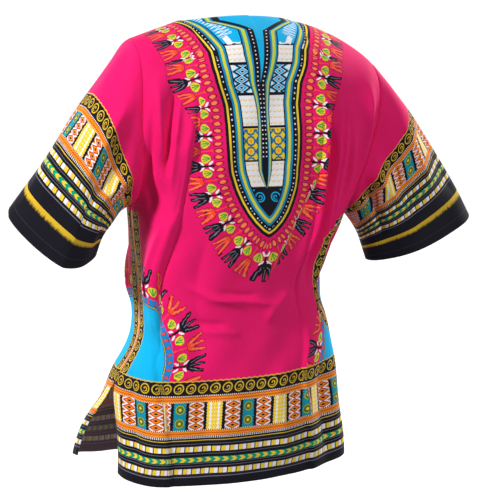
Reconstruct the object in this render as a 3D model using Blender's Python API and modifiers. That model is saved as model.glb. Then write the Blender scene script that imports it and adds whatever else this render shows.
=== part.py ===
"""Dashiki shirt: back, front and two sleeves as thin hollow cloth walls, open at neck, cuffs, hem and vents.

Units are metres and +Z is up. The front faces -Y and the wearer's left is +X.
The origin is the middle of the shoulders, at the base of the neck, where the wearer holds the shirt up.
"""
import math

import bmesh
import bpy
import numpy as np

# Driving sizes of the cloth
CLOTH = 0.0014
SEAM_GAP = 0.0006
SLEEVE_WIDTH = 0.52
SLEEVE_LENGTH = 0.30

# Levels of the body
ARMPIT_HEIGHT = -0.310
ARMPIT_TILT = 0.010
VENT_TOP = -0.605
VENT_ROW = 0.25
RING_POWER = 0.84
FLAT_POWER = 1.60

# Level rings of the body, all in metres: half widths to each side seam, where the seams lie, depths
RING_COLUMNS = ("height", "left", "right", "left_seam", "right_seam", "back", "front")
RINGS = (
    (-0.800, 0.240, 0.191, 0.035, 0.010, 0.122, 0.150),
    (-0.735, 0.236, 0.189, 0.035, 0.010, 0.122, 0.150),
    (-0.665, 0.231, 0.177, 0.034, 0.012, 0.120, 0.148),
    (-0.605, 0.232, 0.170, 0.032, 0.014, 0.114, 0.146),
    (-0.575, 0.220, 0.167, 0.034, 0.016, 0.108, 0.144),
    (-0.540, 0.197, 0.164, 0.040, 0.018, 0.100, 0.142),
    (-0.500, 0.185, 0.154, 0.036, 0.018, 0.098, 0.140),
    (-0.435, 0.182, 0.134, 0.024, 0.016, 0.104, 0.136),
    (-0.390, 0.184, 0.149, 0.018, 0.012, 0.114, 0.134),
    (-0.350, 0.187, 0.171, 0.012, 0.010, 0.122, 0.132),
    (-0.310, 0.190, 0.184, 0.010, 0.010, 0.128, 0.130),
    (-0.200, 0.196, 0.200, 0.016, 0.014, 0.130, 0.126),
    (-0.100, 0.200, 0.220, 0.022, 0.020, 0.118, 0.106),
    (0.000, 0.200, 0.240, 0.024, 0.024, 0.096, 0.078),
)

# Hem height along each panel, from the right side seam at -1 to the left one at 1
HEM_COLUMNS = ("across", "back", "front")
HEM = (
    (-1.0, -0.737, -0.735),
    (-0.8, -0.740, -0.738),
    (-0.4, -0.748, -0.746),
    (0.0, -0.755, -0.750),
    (0.5, -0.755, -0.742),
    (0.8, -0.748, -0.731),
    (1.0, -0.744, -0.724),
)

# How far the vent edges stand off the ring: the left vent is pulled open, the right one barely parts
VENT_COLUMNS = ("height", "back_x", "back_y", "front_x", "front_y", "right_part")
VENTS = (
    (-0.800, -0.006, 0.020, 0.052, -0.050, 0.010),
    (-0.720, -0.004, 0.018, 0.047, -0.045, 0.008),
    (-0.665, -0.001, 0.010, 0.036, -0.030, 0.004),
    (-0.605, 0.000, 0.000, 0.003, 0.000, 0.000),
    (-0.560, 0.000, 0.000, 0.000, 0.000, 0.000),
    (-0.500, 0.000, 0.000, 0.000, 0.000, 0.000),
)

# Shoulder seam, as a point at each sleeve and each side of the neck
SHOULDER_TIP = {"left": (0.196, 0.032, -0.027), "right": (-0.232, 0.028, -0.067)}
NECK_SIDE = {"left": (0.100, 0.004, 0.002), "right": (-0.096, 0.004, 0.001)}
SHOULDER_SAG = {"left": 0.0, "right": -0.16}
SHOULDER_TURN = 0.105
SHOULDER_ROW = 0.5
NECK_RISE = 0.020
NECK_CUT = {"back": 0.46, "front": 1.00}
SLIT_LENGTH = 0.115
SLIT_WIDTH = 0.016

# Armholes and sleeves
ARMHOLE_DEPTH = {"back": 0.080, "front": 0.088}
ARMHOLE_ROUND = 0.09
CUFF_CENTRE = {"left": (0.330, 0.030, -0.339), "right": (-0.336, 0.030, -0.3765)}
CUFF_TO_TOP = {"left": (0.075, 0.0, 0.031), "right": (-0.1025, 0.0, 0.0335)}
CUFF_TO_BACK = {"left": (0.002, 0.062, -0.049), "right": (0.022, 0.058, -0.016)}
CUFF_FLATNESS = {"left": 1.38, "right": 1.15}
SLEEVE_START_TOP = {"left": (0.60, 0.0, -0.80), "right": (-0.72, 0.0, -0.69)}
SLEEVE_START_UNDER = {"left": (0.90, 0.05, -0.45), "right": (-0.95, 0.05, -0.30)}
SLEEVE_END_TOP = {"left": (0.62, 0.0, -0.78), "right": (-0.48, 0.0, -0.87)}
SLEEVE_END_UNDER = {"left": (0.30, 0.0, -0.95), "right": (-0.30, 0.0, -0.95)}

# Largest folds. On a panel a place is metres along the cloth from its middle line and the height.
# On a sleeve it is metres round from the top of the armhole, over the back, and metres down the sleeve.
FOLD_COLUMNS = ("piece", "kind", "across", "height", "to_across", "to_height", "bow", "width", "depth")
FOLDS = (
    ("back", "pleat", 0.122, -0.110, 0.170, -0.530, -0.003, 0.034, 0.0080),
    ("back", "ridge", -0.099, -0.060, -0.088, -0.450, -0.008, 0.018, 0.0070),
    ("back", "trough", -0.124, -0.090, -0.116, -0.450, -0.014, 0.016, 0.0080),
    ("back", "ridge", -0.150, -0.110, -0.146, -0.460, -0.014, 0.018, 0.0095),
    ("back", "ridge", -0.205, -0.260, -0.186, -0.480, -0.004, 0.018, 0.0070),
    ("back", "pleat", -0.100, -0.470, -0.116, -0.800, -0.006, -0.030, 0.0060),
    ("back", "pleat", 0.190, -0.500, 0.152, -0.800, -0.020, 0.030, 0.0060),
    ("back", "ridge", 0.204, -0.070, 0.176, -0.280, 0.004, 0.018, 0.0050),
    ("back", "ridge", 0.178, -0.060, 0.152, -0.200, 0.004, 0.014, 0.0035),
    ("back", "ridge", 0.030, -0.560, 0.036, -0.820, 0.0, 0.045, 0.0050),
    ("back", "ridge", -0.205, -0.520, -0.200, -0.820, 0.0, 0.030, 0.0060),
    ("front", "trough", 0.060, -0.200, 0.150, -0.500, -0.010, 0.020, 0.0070),
    ("front", "ridge", 0.092, -0.160, 0.180, -0.500, -0.010, 0.020, 0.0075),
    ("front", "trough", -0.055, -0.220, -0.140, -0.450, 0.010, 0.018, 0.0070),
    ("front", "ridge", -0.085, -0.150, -0.170, -0.450, 0.010, 0.018, 0.0080),
    ("front", "ridge", -0.200, -0.120, -0.150, -0.290, -0.006, 0.020, 0.0050),
    ("front", "ridge", 0.185, -0.110, 0.140, -0.290, 0.006, 0.020, 0.0050),
    ("front", "ridge", -0.150, -0.500, -0.130, -0.820, 0.0, 0.036, 0.0070),
    ("front", "ridge", 0.035, -0.540, 0.040, -0.820, 0.0, 0.045, 0.0060),
    ("front", "ridge", 0.170, -0.560, 0.170, -0.820, 0.0, 0.034, 0.0060),
    ("sleeve_left", "ridge", 0.205, 0.010, 0.170, 0.270, 0.006, 0.016, 0.0050),
    ("sleeve_left", "trough", 0.175, 0.020, 0.128, 0.250, 0.004, 0.015, 0.0045),
    ("sleeve_left", "ridge", 0.330, 0.010, 0.360, 0.260, 0.0, 0.020, 0.0050),
    ("sleeve_right", "ridge", 0.200, 0.010, 0.160, 0.260, 0.006, 0.016, 0.0055),
    ("sleeve_right", "trough", 0.168, 0.020, 0.120, 0.240, 0.004, 0.015, 0.0045),
    ("sleeve_right", "ridge", 0.325, 0.010, 0.355, 0.250, 0.0, 0.020, 0.0050),
)
SEAM_CALM = 0.030

# How finely the walls are divided
VENT_ROWS = 5
WAIST_ROWS = 12
YOKE_ROWS = 26
ROW_CROWDING = 1.5
SIDE_COLUMNS = 9
NECK_COLUMNS = 7
EDGE_COLUMN = 0.014
SLEEVE_ROWS = 11

PINK = (0.72, 0.012, 0.16)
BLACK = (0.012, 0.012, 0.018)
ROUGHNESS = 0.85


def column(table, names, name):
    """Return one named column of a table."""
    return np.array([row[names.index(name)] for row in table])


def curve(heights, values, at):
    """Return a smooth curve through the table's values that never overshoots them."""
    step = np.diff(heights)
    slope = np.diff(values) / step
    turning = slope[:-1] * slope[1:] <= 0
    before = np.where(turning, 1.0, slope[:-1])
    after = np.where(turning, 1.0, slope[1:])
    bend = np.concatenate(([slope[0]], np.where(turning, 0.0, 2 / (1 / before + 1 / after)), [slope[-1]]))
    at = np.clip(at, heights[0], heights[-1])
    i = np.clip(np.searchsorted(heights, at) - 1, 0, len(step) - 1)
    t = (at - heights[i]) / step[i]
    start = (1 + 2 * t) * (1 - t) ** 2 * values[i] + t * (1 - t) ** 2 * step[i] * bend[i]
    end = t * t * (3 - 2 * t) * values[i + 1] - t * t * (1 - t) * step[i] * bend[i + 1]
    return start + end


def soft_column(table, names, name, at, reach=0.012):
    """Read a column at some heights, averaged over a short reach so that no band shows."""
    heights, values = table_columns(table, names, name)
    taps = ((-2, 1), (-1, 2), (0, 3), (1, 2), (2, 1))
    return sum(weight * curve(heights, values, at + k * reach) for k, weight in taps) / 9


def table_columns(table, names, name):
    """Return a table's first column and the named one."""
    return column(table, names, names[0]), column(table, names, name)


def ease(t):
    """Rise smoothly from 0 to 1 as t does."""
    t = np.clip(t, 0, 1)
    return t * t * (3 - 2 * t)


def shoulder_seam(across):
    """Return x, y and z of the shoulder line, carried on over the neck, and how far into the neck it is."""
    line = np.zeros(across.shape + (3,))
    inside = np.zeros(across.shape)
    for side, sign in (("left", 1), ("right", -1)):
        tip, neck = SHOULDER_TIP[side], NECK_SIDE[side]
        here = across >= 0 if sign > 0 else across < 0
        out = np.abs(across) * abs(tip[0])
        along = np.clip((out - abs(neck[0])) / (abs(tip[0]) - abs(neck[0])), 0, 1)
        from_middle = np.clip(out / abs(neck[0]), 0, 1)
        sag = SHOULDER_SAG[side] * (neck[2] - tip[2]) * 4 * along * (1 - along)
        height = neck[2] + (tip[2] - neck[2]) * along - sag + NECK_RISE * (1 - from_middle ** 2)
        depth = neck[1] + (tip[1] - neck[1]) * along
        line = np.where(here[..., None], np.stack([sign * out, depth, height], -1), line)
        inside = np.where(here, np.sqrt(1 - from_middle ** 2), inside)
    return line[..., 0], line[..., 1], line[..., 2], inside


def neck_column(side):
    """Return the place across at which the shoulder line reaches the side of the neck."""
    return NECK_SIDE[side][0] / abs(SHOULDER_TIP[side][0])


def panel(face, across, up):
    """Return points of a panel before its folds.

    across runs from the right seam at -1 to the left one at 1. up is 0 at the hem, VENT_ROW at the
    top of the vents, 1 at the armpits and 2 at the shoulder seam and neck.
    """
    across, up = np.broadcast_arrays(np.asarray(across, float), np.asarray(up, float))
    sign = 1 if face == "back" else -1
    top_x, top_y, top_z, inside = shoulder_seam(across)
    arm = ARMPIT_HEIGHT + ARMPIT_TILT * across
    hem = curve(*table_columns(HEM, HEM_COLUMNS, face), across)
    skirt = hem + (VENT_TOP - hem) * np.clip(up / VENT_ROW, 0, 1)
    waist = VENT_TOP + (arm - VENT_TOP) * np.clip((up - VENT_ROW) / (1 - VENT_ROW), 0, 1)
    climb = np.clip(up - 1, 0, 1)
    turn = np.clip((climb - SHOULDER_ROW) / (1 - SHOULDER_ROW), 0, 1) * (math.pi / 2 - NECK_CUT[face] * inside)
    chest = arm + (top_z - SHOULDER_TURN - arm) * climb / SHOULDER_ROW
    crown = top_z - SHOULDER_TURN + SHOULDER_TURN * np.sin(turn)
    z = np.where(up < VENT_ROW, skirt, np.where(up <= 1, waist, np.where(climb < SHOULDER_ROW, chest, crown)))
    flat = ease((z - arm + 0.06) / 0.22)
    ring = np.abs(np.sin(across * math.pi / 2)) ** RING_POWER
    wide = np.sign(across) * (ring + (np.abs(across) - ring) * flat)
    deep = np.sqrt(np.clip(1 - np.abs(wide) ** (2 / RING_POWER), 0, 1))
    left, right, left_seam, right_seam, depth = (
        soft_column(RINGS, RING_COLUMNS, name, z) for name in ("left", "right", "left_seam", "right_seam", face)
    )
    x = (left - right) / 2 + (left + right) / 2 * wide
    x = x + (top_x - x) * ease((z - arm) / (top_z - arm))
    seam = (left_seam + right_seam) / 2 + (left_seam - right_seam) / 2 * wide
    loop = np.sqrt(1 - (1 - np.clip((z - arm) / ARMHOLE_ROUND, 0, 1)) ** 2)
    calm = ease((z - arm + 0.05) / 0.20)
    edge = ARMHOLE_DEPTH[face] * (calm + (loop - calm) * (1 - deep) ** 5)
    power = RING_POWER + (FLAT_POWER - RING_POWER) * flat
    full = seam + sign * (depth * deep ** power + edge * (1 - deep ** power))
    y = np.where(up <= 1, full, top_y + (full - top_y) * np.cos(turn) ** 0.9)
    near_left = ease((across - 0.35) / 0.65)
    near_right = ease((-across - 0.55) / 0.45)
    x = x + near_left * soft_column(VENTS, VENT_COLUMNS, face + "_x", z)
    y = y + near_left * soft_column(VENTS, VENT_COLUMNS, face + "_y", z)
    y = y + sign * near_right * soft_column(VENTS, VENT_COLUMNS, "right_part", z)
    return np.stack([x, y, z], -1)


def sleeve(side, around, down):
    """Return points of a sleeve before its folds.

    around is 0 at the shoulder seam, 1 at the armpit by way of the back, and 2 at the shoulder again.
    down is 0 at the armhole and 1 at the cuff.
    """
    around, down = np.broadcast_arrays(np.asarray(around, float), np.asarray(down, float))
    seam = np.full(around.shape, 1.0 if side == "left" else -1.0)
    by_back = panel("back", seam, np.where(around <= 1, 2 - around, 2.0))
    by_front = panel("front", seam, np.where(around <= 1, 2.0, around))
    start = np.where((around <= 1)[..., None], by_back, by_front)
    turn = around * math.pi
    flat = CUFF_FLATNESS[side]
    to_top = (np.sign(np.cos(turn)) * np.abs(np.cos(turn)) ** flat)[..., None] * np.array(CUFF_TO_TOP[side])
    to_back = (np.sign(np.sin(turn)) * np.abs(np.sin(turn)) ** flat)[..., None] * np.array(CUFF_TO_BACK[side])
    end = np.array(CUFF_CENTRE[side]) + to_top + to_back
    top = ((1 + np.cos(turn)) / 2)[..., None]
    length = np.linalg.norm(end - start, axis=-1)[..., None]
    leave = (np.array(SLEEVE_START_TOP[side]) * top + np.array(SLEEVE_START_UNDER[side]) * (1 - top)) * length
    reach = (np.array(SLEEVE_END_TOP[side]) * top + np.array(SLEEVE_END_UNDER[side]) * (1 - top)) * length
    t = down[..., None]
    begin = (1 + 2 * t) * (1 - t) ** 2 * start + t * (1 - t) ** 2 * leave
    return begin + t * t * (3 - 2 * t) * end - t * t * (1 - t) * reach


def fold_height(piece, across, height, calm):
    """Return how far the cloth stands out at each place, from the table of folds."""
    out = np.zeros(across.shape)
    for row in FOLDS:
        fold = dict(zip(FOLD_COLUMNS, row))
        if fold["piece"] != piece:
            continue
        run = np.array([fold["to_across"] - fold["across"], fold["to_height"] - fold["height"]])
        length = np.hypot(*run)
        share = ((across - fold["across"]) * run[0] + (height - fold["height"]) * run[1]) / length ** 2
        inside = np.clip(share, 0, 1)
        middle = fold["across"] + run[0] * share + 4 * fold["bow"] * inside * (1 - inside)
        off = (across - middle) * abs(run[1]) / length
        fade = ease(share / 0.25) * ease((1 - share) / 0.18)
        if fold["kind"] == "pleat":
            width = fold["width"]
            shape = np.where(off / width > 0, 1 - ease(off / (1.6 * width)), 1 - ease(-off / (0.35 * width)))
        else:
            shape = np.exp(-(off / fold["width"]) ** 2)
        out = out + (-1 if fold["kind"] == "trough" else 1) * fold["depth"] * shape * fade
    return out * calm


def grid_normals(points):
    """Return unit normals of a grid of points, from its rows and columns."""
    normal = np.cross(np.gradient(points, axis=1), np.gradient(points, axis=0))
    return normal / np.linalg.norm(normal, axis=-1)[..., None]


def along_rows(points):
    """Return how far each point of a grid is along its row."""
    steps = np.linalg.norm(np.diff(points, axis=1), axis=-1)
    return np.concatenate((np.zeros((len(points), 1)), np.cumsum(steps, 1)), 1)


def panel_grid(face, columns, rows):
    """Return a panel's points with its folds, a row for each height and a column for each place across."""
    across, up = np.meshgrid(columns, rows)
    base = panel(face, across, up)
    run = along_rows(base)
    girth = run - run[:, [int(np.argmin(np.abs(columns)))]]
    from_seam = np.minimum(run, run[:, -1:] - run)
    from_top = (2 - up) * 0.25
    calm = ease(from_seam / SEAM_CALM) * ease(from_top / 0.05)
    outward = grid_normals(base) * (-1 if face == "back" else 1)
    lift = fold_height(face, girth, base[..., 2], calm)
    return base + outward * lift[..., None]


def sleeve_grid(side, columns, rows):
    """Return a sleeve's points with its folds, a row for each place down and a column for each around."""
    around, down = np.meshgrid(columns, rows)
    base = sleeve(side, around, down)
    calm = ease(down * SLEEVE_LENGTH / SEAM_CALM)
    outward = grid_normals(base) * (-1 if side == "left" else 1)
    lift = fold_height("sleeve_" + side, around * SLEEVE_WIDTH / 2, down * SLEEVE_LENGTH, calm)
    return base + outward * lift[..., None]


def rows_of_panel():
    """Return the heights of a panel's rows, closest together just over the armpits."""
    skirt = np.linspace(0, VENT_ROW, VENT_ROWS + 1)[:-1]
    waist = np.linspace(VENT_ROW, 1, WAIST_ROWS + 1)[:-1]
    yoke = 1 + np.linspace(0, 1, YOKE_ROWS) ** ROW_CROWDING
    return np.concatenate((skirt, waist, yoke))


def columns_of_panel():
    """Return the places of a panel's columns, with one at each side of the neck and one close to each seam."""
    left, right = neck_column("left"), neck_column("right")
    return np.concatenate((
        [-1],
        np.linspace(EDGE_COLUMN - 1, right, SIDE_COLUMNS + 1)[:-1],
        np.linspace(right, 0, NECK_COLUMNS + 1)[:-1],
        np.linspace(0, left, NECK_COLUMNS + 1)[:-1],
        np.linspace(left, 1 - EDGE_COLUMN, SIDE_COLUMNS + 1),
        [1],
    ))


def pull_edges(points, normals):
    """Move a grid's border in by half the seam gap, square to the seam, so that sewn pieces don't touch."""
    moved = points.copy()
    for border, inner in ((0, 1), (-1, -2)):
        for axis in (0, 1):
            edge = np.take(points, border, axis)
            along = np.gradient(edge, axis=0)
            way = np.cross(np.take(normals, border, axis), along)
            way = way / np.linalg.norm(way, axis=-1)[..., None]
            inward = np.sign(np.sum(way * (np.take(points, inner, axis) - edge), -1))[..., None]
            if axis == 0:
                moved[border] += way * inward * SEAM_GAP / 2
            else:
                moved[:, border] += way * inward * SEAM_GAP / 2
    return moved


def open_slit(points, columns, rows):
    """Return the front's left and right halves, parted along the slit below the neck."""
    middle = int(np.argmin(np.abs(columns)))
    drop = points[-1, middle, 2] - points[:, middle, 2]
    parting = SLIT_WIDTH / 2 * np.clip(1 - drop / SLIT_LENGTH, 0, 1)
    halves = []
    for sign, part in ((-1, slice(0, middle + 1)), (1, slice(middle, None))):
        half = points[:, part].copy()
        spread = np.exp(-((half[..., 0] - points[:, middle, 0][:, None]) / 0.03) ** 2)
        half[..., 0] += sign * parting[:, None] * spread
        halves.append(half)
    return halves


def seam_normals(grids):
    """Give points that two or more grids share the mean of their normals, so that the walls mitre there."""
    normals = {name: grid_normals(points) * sign for name, (points, sign) in grids.items()}
    shared = {}
    for name, (points, sign) in grids.items():
        for index in np.ndindex(points.shape[:2]):
            key = tuple(np.round(points[index], 6))
            shared.setdefault(key, []).append((name, index))
    for places in shared.values():
        if len(places) > 1:
            mean = sum(normals[name][index] for name, index in places)
            mean = mean / np.linalg.norm(mean)
            for name, index in places:
                normals[name][index] = mean
    return normals


def add_grid(mesh, points, start_tag):
    """Add one grid of faces to a bmesh and place its vertices."""
    rows, columns = points.shape[:2]
    made = bmesh.ops.create_grid(mesh, x_segments=columns - 1, y_segments=rows - 1, size=1)
    ordered = sorted(made["verts"], key=lambda v: (round(v.co.y, 5), round(v.co.x, 5)))
    for vertex, place, tag in zip(ordered, points.reshape(-1, 3), range(start_tag, start_tag + rows * columns)):
        vertex.co = place
        vertex[mesh.verts.layers.int["tag"]] = tag


def cloth_wall(name, grids, inners, colour):
    """Build one piece from its outer grids and the inner ones, as a closed wall of cloth."""
    mesh = bmesh.new()
    tags = mesh.verts.layers.int.new("tag")
    start = 0
    for points in grids:
        add_grid(mesh, points, start)
        start += points.shape[0] * points.shape[1]
    bmesh.ops.remove_doubles(mesh, verts=mesh.verts, dist=0.00005)
    inner = np.concatenate([points.reshape(-1, 3) for points in inners])
    inside = [inner[vertex[tags]] for vertex in mesh.verts]
    first = next(iter(mesh.faces))
    toward = sum((np.array(inside[v.index]) - np.array(v.co) for v in first.verts), np.zeros(3))
    mesh.normal_update()
    if np.dot(toward, np.array(first.normal)) > 0:
        bmesh.ops.reverse_faces(mesh, faces=mesh.faces)
    data = bpy.data.meshes.new(name)
    mesh.to_mesh(data)
    mesh.free()
    piece = bpy.data.objects.new(name, data)
    bpy.context.scene.collection.objects.link(piece)
    thicken = piece.modifiers.new("cloth", "SOLIDIFY")
    thicken.thickness = CLOTH
    thicken.offset = -1
    bpy.context.view_layer.objects.active = piece
    bpy.ops.object.modifier_apply(modifier=thicken.name)
    count = len(inside)
    for index, place in enumerate(inside):
        piece.data.vertices[count + index].co = place
    piece.data.update()
    piece.data.materials.append(cloth_material(name, colour))
    return piece


def cloth_material(name, colour):
    """Return a plain woven cotton finish."""
    material = bpy.data.materials.new(name + "_cotton")
    material.use_nodes = True
    shader = material.node_tree.nodes["Principled BSDF"]
    shader.inputs["Base Color"].default_value = (*colour, 1)
    shader.inputs["Roughness"].default_value = ROUGHNESS
    shader.inputs["Metallic"].default_value = 0
    return material


def build_shirt():
    """Shape the four pieces, mitre their walls at the seams and build them."""
    rows, columns = rows_of_panel(), columns_of_panel()
    yoke = rows[rows >= 1]
    around = np.concatenate(((2 - yoke)[::-1], yoke[1:]))
    down = np.linspace(0, 1, SLEEVE_ROWS)
    outer = {
        "back_panel": (panel_grid("back", columns, rows), -1),
        "front_panel": (panel_grid("front", columns, rows), 1),
        "sleeve_left": (sleeve_grid("left", around, down), -1),
        "sleeve_right": (sleeve_grid("right", around, down), 1),
    }
    normals = seam_normals(outer)
    for name, (points, sign) in outer.items():
        skin = pull_edges(points, normals[name])
        lining = skin - normals[name] * CLOTH
        grids, inners = [skin], [lining]
        if name == "front_panel":
            grids, inners = open_slit(skin, columns, rows), open_slit(lining, columns, rows)
        if name.startswith("sleeve"):
            grids, inners = close_underarm(skin), close_underarm(lining)
        cloth_wall(name, grids, inners, BLACK if name.startswith("sleeve") else PINK)


def close_underarm(points):
    """Bring a sleeve's first and last columns back together at the top, where its cloth is whole."""
    joined = points.copy()
    middle = (points[:, 0] + points[:, -1]) / 2
    joined[:, 0] = middle
    joined[:, -1] = middle
    return [joined]


for thing in list(bpy.data.objects):
    bpy.data.objects.remove(thing, do_unlink=True)
build_shirt()
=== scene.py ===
import math

import bpy
import numpy as np
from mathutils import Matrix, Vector


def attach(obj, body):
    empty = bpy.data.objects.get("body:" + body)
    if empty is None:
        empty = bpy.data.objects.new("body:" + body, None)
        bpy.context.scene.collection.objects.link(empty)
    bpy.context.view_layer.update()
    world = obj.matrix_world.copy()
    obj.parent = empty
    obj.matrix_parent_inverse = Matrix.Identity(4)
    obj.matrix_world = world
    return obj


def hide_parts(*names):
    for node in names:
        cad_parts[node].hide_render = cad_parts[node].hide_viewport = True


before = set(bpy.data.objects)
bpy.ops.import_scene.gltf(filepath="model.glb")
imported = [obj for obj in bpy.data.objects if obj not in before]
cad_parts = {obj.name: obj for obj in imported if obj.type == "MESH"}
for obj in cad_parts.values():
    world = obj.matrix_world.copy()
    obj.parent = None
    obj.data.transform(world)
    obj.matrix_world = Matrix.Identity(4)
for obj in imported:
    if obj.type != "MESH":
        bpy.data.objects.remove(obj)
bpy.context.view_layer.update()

# Thickness of the cloth, and the width and length that places on a sleeve are measured by, all in metres
CLOTH = 0.0014
SLEEVE_WIDTH = 0.52
SLEEVE_LENGTH = 0.30

# Levels of the body, and how its level rings are rounded low down and near the shoulders
ARMPIT_HEIGHT = -0.310
ARMPIT_TILT = 0.010
VENT_TOP = -0.605
VENT_ROW = 0.25
RING_POWER = 0.84
FLAT_POWER = 1.60
FLAT_FROM, FLAT_OVER = 0.06, 0.22

# Level rings of the body, all in metres: half widths to each side seam, where the seams lie, depths
RING_COLUMNS = ("height", "left", "right", "left_seam", "right_seam", "back", "front")
RINGS = (
    (-0.800, 0.240, 0.191, 0.035, 0.010, 0.122, 0.150),
    (-0.735, 0.236, 0.189, 0.035, 0.010, 0.122, 0.150),
    (-0.665, 0.231, 0.177, 0.034, 0.012, 0.120, 0.148),
    (-0.605, 0.232, 0.170, 0.032, 0.014, 0.114, 0.146),
    (-0.575, 0.220, 0.167, 0.034, 0.016, 0.108, 0.144),
    (-0.540, 0.197, 0.164, 0.040, 0.018, 0.100, 0.142),
    (-0.500, 0.185, 0.154, 0.036, 0.018, 0.098, 0.140),
    (-0.435, 0.182, 0.134, 0.024, 0.016, 0.104, 0.136),
    (-0.390, 0.184, 0.149, 0.018, 0.012, 0.114, 0.134),
    (-0.350, 0.187, 0.171, 0.012, 0.010, 0.122, 0.132),
    (-0.310, 0.190, 0.184, 0.010, 0.010, 0.128, 0.130),
    (-0.200, 0.196, 0.200, 0.016, 0.014, 0.130, 0.126),
    (-0.100, 0.200, 0.220, 0.022, 0.020, 0.118, 0.106),
    (0.000, 0.200, 0.240, 0.024, 0.024, 0.096, 0.078),
)

# Hem height along each panel, from the right side seam at -1 to the left one at 1
HEM_COLUMNS = ("across", "back", "front")
HEM = (
    (-1.0, -0.737, -0.735),
    (-0.8, -0.740, -0.738),
    (-0.4, -0.748, -0.746),
    (0.0, -0.755, -0.750),
    (0.5, -0.755, -0.742),
    (0.8, -0.748, -0.731),
    (1.0, -0.744, -0.724),
)

# How far the vent edges stand off the ring: the left vent is pulled open, the right one barely parts
VENT_COLUMNS = ("height", "back_x", "back_y", "front_x", "front_y", "right_part")
VENTS = (
    (-0.800, -0.006, 0.020, 0.052, -0.050, 0.010),
    (-0.720, -0.004, 0.018, 0.047, -0.045, 0.008),
    (-0.665, -0.001, 0.010, 0.036, -0.030, 0.004),
    (-0.605, 0.000, 0.000, 0.003, 0.000, 0.000),
    (-0.560, 0.000, 0.000, 0.000, 0.000, 0.000),
    (-0.500, 0.000, 0.000, 0.000, 0.000, 0.000),
)
# Where across a panel the pull of each vent starts, and how much further it grows
VENT_REACH = {"left": (0.35, 0.65), "right": (0.55, 0.45)}

# Shoulder seam, as a point at each sleeve and each side of the neck, then the neck and its slit
SHOULDER_TIP = {"left": (0.196, 0.032, -0.027), "right": (-0.232, 0.028, -0.067)}
NECK_SIDE = {"left": (0.100, 0.004, 0.002), "right": (-0.096, 0.004, 0.001)}
SHOULDER_SAG = {"left": 0.0, "right": -0.16}
SHOULDER_TURN = 0.105
SHOULDER_ROW = 0.5
SHOULDER_ROUND = 0.9
NECK_RISE = 0.020
NECK_CUT = {"back": 0.46, "front": 1.00}
SLIT_LENGTH = 0.115
SLIT_WIDTH = 0.016
SLIT_SPREAD = 0.03

# Armholes and sleeves
ARMHOLE_DEPTH = {"back": 0.080, "front": 0.088}
ARMHOLE_ROUND = 0.09
ARMHOLE_FROM, ARMHOLE_OVER = 0.05, 0.20
CUFF_CENTRE = {"left": (0.330, 0.030, -0.339), "right": (-0.336, 0.030, -0.3765)}
CUFF_TO_TOP = {"left": (0.075, 0.0, 0.031), "right": (-0.1025, 0.0, 0.0335)}
CUFF_TO_BACK = {"left": (0.002, 0.062, -0.049), "right": (0.022, 0.058, -0.016)}
CUFF_FLATNESS = {"left": 1.38, "right": 1.15}
SLEEVE_START_TOP = {"left": (0.60, 0.0, -0.80), "right": (-0.72, 0.0, -0.69)}
SLEEVE_START_UNDER = {"left": (0.90, 0.05, -0.45), "right": (-0.95, 0.05, -0.30)}
SLEEVE_END_TOP = {"left": (0.62, 0.0, -0.78), "right": (-0.48, 0.0, -0.87)}
SLEEVE_END_UNDER = {"left": (0.30, 0.0, -0.95), "right": (-0.30, 0.0, -0.95)}

# Largest folds, in millimetres. A row has the kind, the start, the end, the sideways bow, the width and the
# depth. On a panel a place is how far along the cloth from its middle line, and the height. On a sleeve it is
# how far round from the top of the armhole, over the back, and how far down the sleeve.
FOLDS = {
    "back": (
        ("pleat", 122, -110, 170, -530, -3, 34, 8),
        ("ridge", -99, -60, -88, -450, -8, 18, 7),
        ("trough", -124, -90, -116, -450, -14, 16, 8),
        ("ridge", -150, -110, -146, -460, -14, 18, 9.5),
        ("ridge", -205, -260, -186, -480, -4, 18, 7),
        ("pleat", -100, -470, -116, -800, -6, -30, 6),
        ("pleat", 190, -500, 152, -800, -20, 30, 6),
        ("ridge", 204, -70, 176, -280, 4, 18, 5),
        ("ridge", 178, -60, 152, -200, 4, 14, 3.5),
        ("ridge", 30, -560, 36, -820, 0, 45, 5),
        ("ridge", -205, -520, -200, -820, 0, 30, 6),
    ),
    "front": (
        ("trough", 60, -200, 150, -500, -10, 20, 7),
        ("ridge", 92, -160, 180, -500, -10, 20, 7.5),
        ("trough", -55, -220, -140, -450, 10, 18, 7),
        ("ridge", -85, -150, -170, -450, 10, 18, 8),
        ("ridge", -200, -120, -150, -290, -6, 20, 5),
        ("ridge", 185, -110, 140, -290, 6, 20, 5),
        ("ridge", -150, -500, -130, -820, 0, 36, 7),
        ("ridge", 35, -540, 40, -820, 0, 45, 6),
        ("ridge", 170, -560, 170, -820, 0, 34, 6),
    ),
    "sleeve_left": (
        ("ridge", 205, 10, 170, 270, 6, 16, 5),
        ("trough", 175, 20, 128, 250, 4, 15, 4.5),
        ("ridge", 330, 10, 360, 260, 0, 20, 5),
    ),
    "sleeve_right": (
        ("ridge", 200, 10, 160, 260, 6, 16, 5.5),
        ("trough", 168, 20, 120, 240, 4, 15, 4.5),
        ("ridge", 325, 10, 355, 250, 0, 20, 5),
    ),
}

# Shares of a pleat's width on its long side and its steep side, and of a fold's length over which it fades
PLEAT_LONG_SIDE, PLEAT_STEEP_SIDE = 1.6, 0.35
FOLD_START, FOLD_END = 0.25, 0.18

# How far from a side seam, and from the top, the folds have their full height, and metres to a step up there
SEAM_CALM = 0.030
TOP_CALM = 0.05
STEP_HEIGHT = 0.25

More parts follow.
